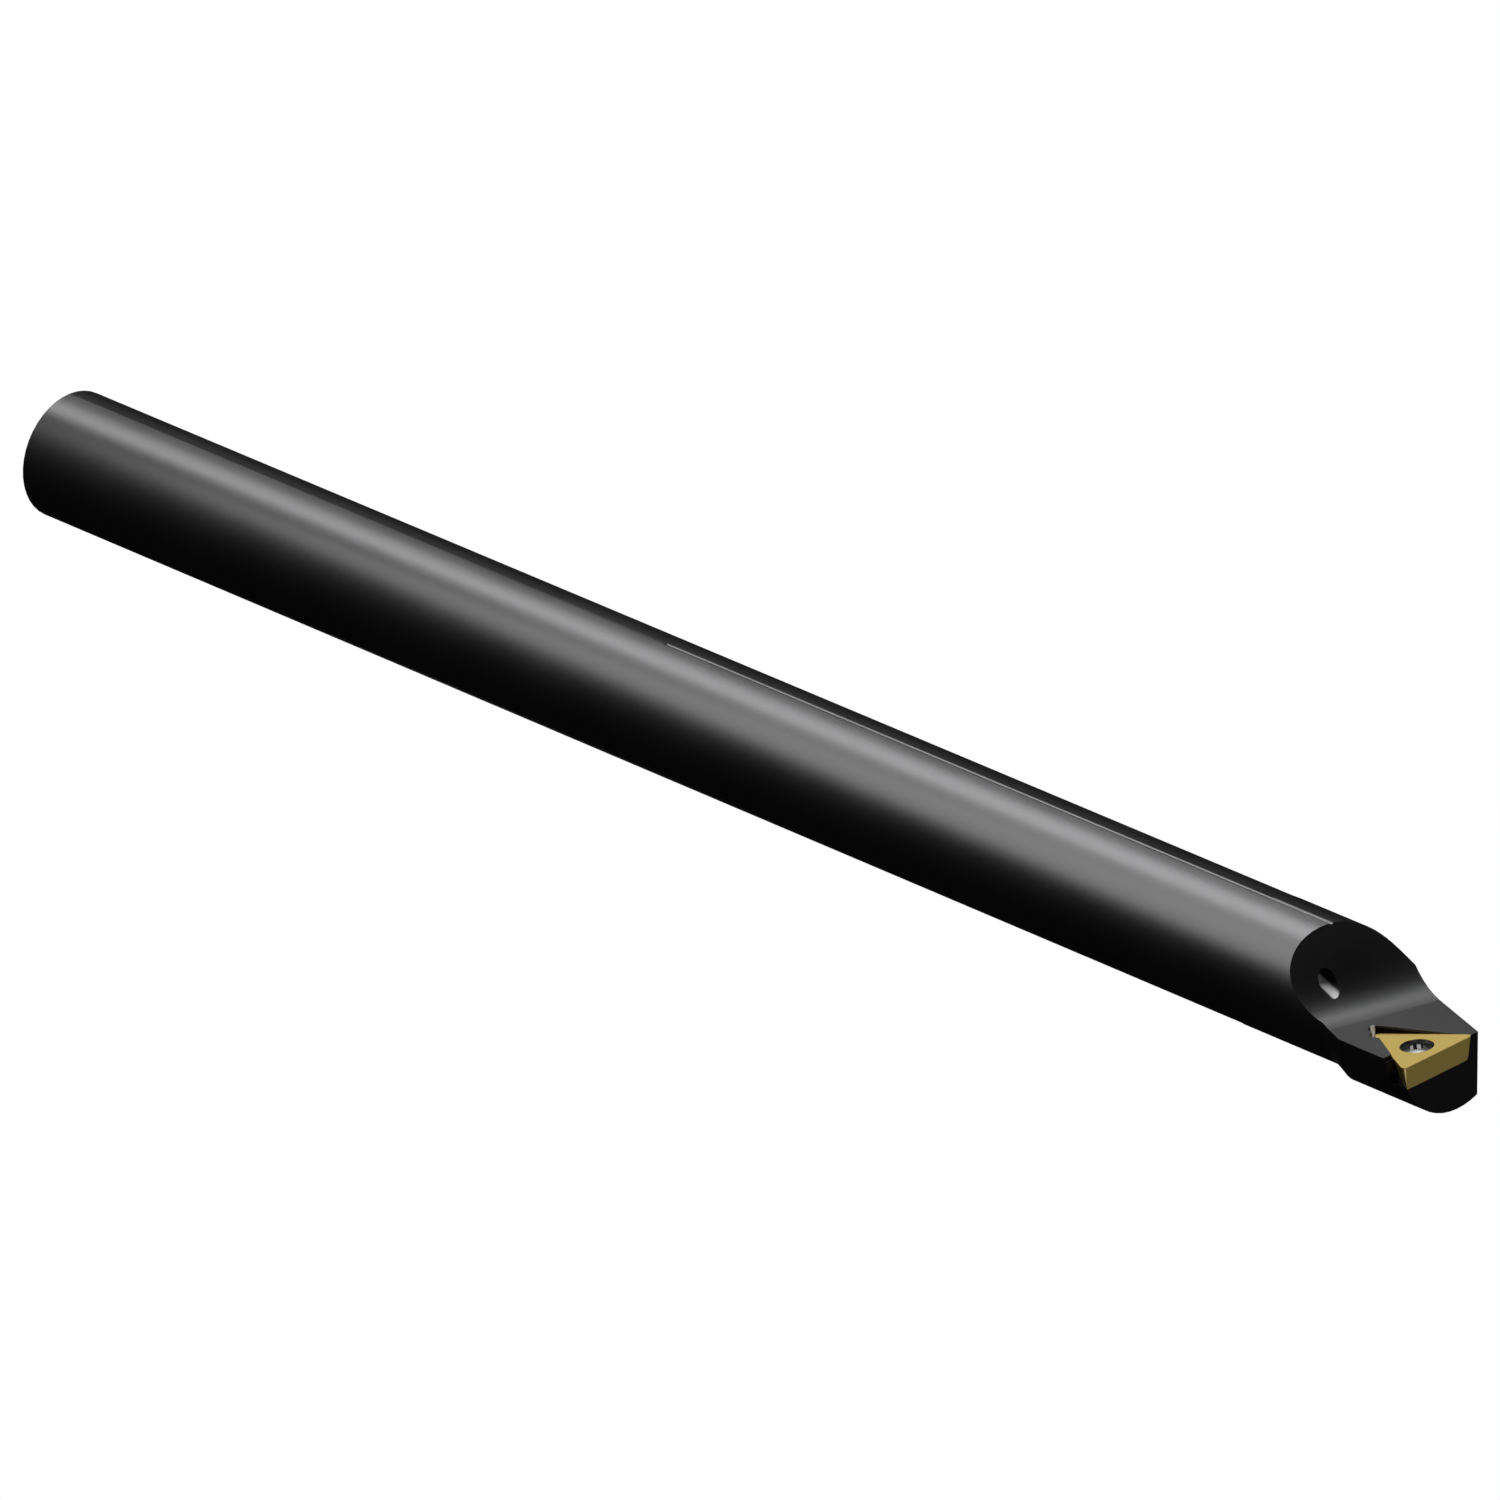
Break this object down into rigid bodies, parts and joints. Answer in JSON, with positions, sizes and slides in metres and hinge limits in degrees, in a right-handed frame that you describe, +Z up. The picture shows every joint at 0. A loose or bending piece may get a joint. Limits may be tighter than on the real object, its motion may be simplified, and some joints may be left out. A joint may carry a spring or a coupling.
{
  "type": "boring bar",
  "caption": "Steel boring bar with a round shank, a scooped head with a coolant outlet, and a triangular carbide insert held by a countersunk six-lobe screw.",
  "frame": {"origin": "centre of the shank's rear face", "axes": "+X along the bar to the cutting end, +Z up with the insert's top facing up, the cutting tip stands out towards -Y"},
  "size_m": [0.1851, 0.0143, 0.0132],
  "materials": {
    "black_steel": "black oxide, satin",
    "coated_carbide": "gold coated, satin",
    "screw_steel": "bright"
  },
  "bodies": {
    "root": {"bar": "black_steel", "insert": "coated_carbide", "insert_screw": "screw_steel"}
  },
  "joints": []
}
